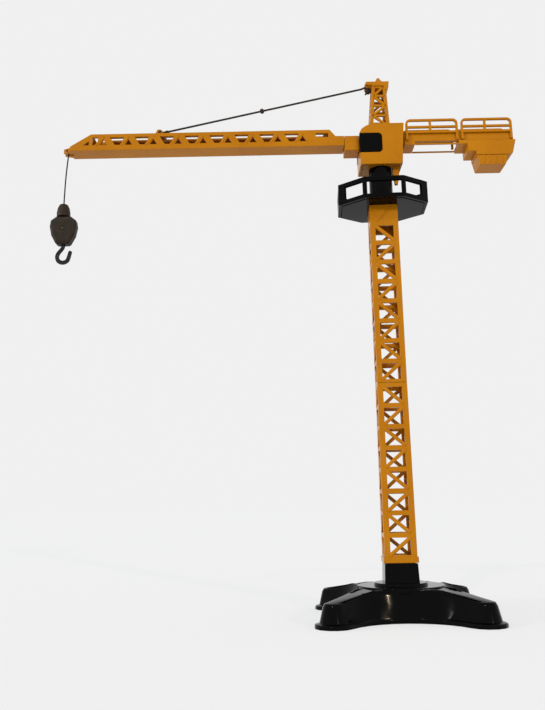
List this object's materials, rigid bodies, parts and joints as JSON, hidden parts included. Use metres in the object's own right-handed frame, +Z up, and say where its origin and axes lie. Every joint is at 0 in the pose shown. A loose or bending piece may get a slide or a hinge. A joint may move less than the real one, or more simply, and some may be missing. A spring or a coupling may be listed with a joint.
{
  "type": "toy tower crane",
  "caption": "Toy tower crane: star base, lattice mast, railed gallery and a slewing cab with guyed jib, counterweight and a swinging hook block.",
  "frame": {"origin": "where the mast's axis meets the floor, at the middle of the base's underside", "axes": "+Z up the mast; the jib points towards -X, turned 3 degrees towards -Y at rest; the base's feet lie on the diagonals of X and Y"},
  "size_m": [0.3751, 0.1258, 0.4277],
  "materials": {
    "yellow_plastic": "satin moulded plastic",
    "black_plastic": "gloss moulded plastic",
    "window_plastic": "gloss black insert",
    "block_plastic": "dark brown-black plastic",
    "thread": "twisted thread",
    "steel": "plain steel pin"
  },
  "bodies": {
    "tower": {"base_shell": "black_plastic", "mast_lower": "yellow_plastic", "mast_upper": "yellow_plastic", "gallery_floor": "black_plastic", "gallery_rail": "black_plastic"},
    "crown": {"slew_pin": "black_plastic", "cab_body": "yellow_plastic", "cab_floor": "yellow_plastic", "cab_window_near": "window_plastic", "cab_window_far": "window_plastic", "tower_head": "yellow_plastic", "head_cap": "yellow_plastic", "guy_head_pin": "steel", "guy_line": "thread", "guy_bead": "thread", "guy_jib_pin": "steel", "jib_root": "yellow_plastic", "jib": "yellow_plastic", "jib_tip_pin": "steel", "counter_deck": "yellow_plastic", "rail_near_inner": "yellow_plastic", "rail_far_inner": "yellow_plastic", "rail_near_outer": "yellow_plastic", "rail_far_outer": "yellow_plastic", "counterweight": "yellow_plastic", "ballast_block": "yellow_plastic", "counter_brace_near": "yellow_plastic", "counter_brace_far": "yellow_plastic"},
    "hoist": {"hoist_rope": "thread"},
    "block": {"block_cap": "block_plastic", "block_shell_near": "block_plastic", "block_shell_far": "block_plastic", "block_rivet": "steel"},
    "hook": {"hook": "block_plastic"}
  },
  "joints": [
    {"name": "slew", "type": "hinge", "parent": "tower", "child": "crown", "pos_m": [0, 0, 0.345], "axis": [0, 0, 1], "continuous": true},
    {"name": "rope_swing", "type": "hinge", "parent": "crown", "child": "hoist", "pos_m": [-0.25364, -0.01358, 0.366], "axis": [-0.0535, 0.9986, 0], "range_deg": [-60, 60]},
    {"name": "block_swing", "type": "hinge", "parent": "hoist", "child": "block", "pos_m": [-0.25568, -0.01369, 0.322], "axis": [0.9986, 0.0535, 0], "range_deg": [-35, 35]},
    {"name": "hook_swivel", "type": "hinge", "parent": "block", "child": "hook", "pos_m": [-0.25494, -0.01365, 0.2906], "axis": [0, 0, 1], "continuous": true}
  ]
}
